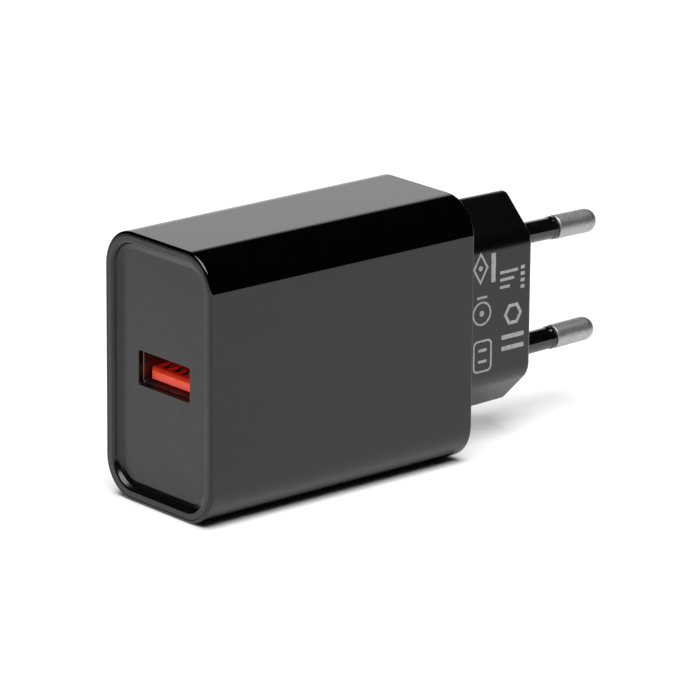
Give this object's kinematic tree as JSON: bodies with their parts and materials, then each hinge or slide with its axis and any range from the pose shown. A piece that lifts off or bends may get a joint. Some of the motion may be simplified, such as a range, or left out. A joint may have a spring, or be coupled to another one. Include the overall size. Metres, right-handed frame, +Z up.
{
  "type": "usb wall charger",
  "caption": "Slim upright USB-A wall charger with a long flat two-pin plug, a glossy black sleeve, a dished satin front and an orange socket tongue.",
  "frame": {"origin": "on the surface that the charger stands on, under the middle of its bounding box, pins included", "axes": "+Y from the USB face to the pin tips, +Z up, +X across the thickness, to the right when looking along +Y"},
  "size_m": [0.0264, 0.0924, 0.044],
  "materials": {
    "gloss_black_shell": "high gloss",
    "satin_black_shell": "fine satin texture",
    "pin_nickel": "tumbled nickel plating on brass",
    "pin_insulation": "gloss",
    "terminal_brass": "rolled strip",
    "board_green": "solder mask on glass-epoxy laminate",
    "amber_film": "thin film",
    "solder_tin": "bright solder",
    "shell_tin": "tin-plated sheet",
    "tongue_orange": "satin moulding",
    "contact_gold": "gold flash",
    "ferrite": "sintered",
    "phenolic_black": "moulded",
    "copper_wire": "enamelled wire",
    "yellow_tape": "polyester tape",
    "can_brown": "shrink sleeve",
    "can_silver": "bare can",
    "disc_blue": "dipped coating",
    "chip_black": "moulded package",
    "chip_ceramic": "fired"
  },
  "bodies": {
    "root": {"housing_sleeve": "gloss_black_shell", "front_bezel": "satin_black_shell", "plug_housing": "satin_black_shell", "upper_contact_pin": "pin_nickel", "lower_contact_pin": "pin_nickel", "upper_pin_insulation": "pin_insulation", "lower_pin_insulation": "pin_insulation", "upper_terminal_strip": "terminal_brass", "lower_terminal_strip": "terminal_brass", "main_board": "board_green", "insulation_sheet": "amber_film", "solder_joints": "solder_tin", "usb_shell": "shell_tin", "usb_insulator": "tongue_orange", "usb_contacts": "contact_gold", "transformer_core_upper": "ferrite", "transformer_core_lower": "ferrite", "transformer_bobbin": "phenolic_black", "transformer_pins": "solder_tin", "primary_winding": "copper_wire", "secondary_winding": "copper_wire", "transformer_tape": "yellow_tape", "input_capacitor_upper": "can_brown", "input_capacitor_lower": "can_brown", "output_capacitor_upper": "can_silver", "output_capacitor_lower": "can_silver", "supply_capacitor": "can_brown", "y_capacitor": "disc_blue", "input_inductor": "phenolic_black", "input_fuse": "phenolic_black", "bridge_rectifier": "chip_black", "optocoupler": "chip_black", "controller_chip": "chip_black", "sync_rectifier_chip": "chip_black", "protocol_chip": "chip_black", "chip_resistors": "chip_ceramic", "chip_capacitors": "chip_ceramic"}
  },
  "joints": []
}
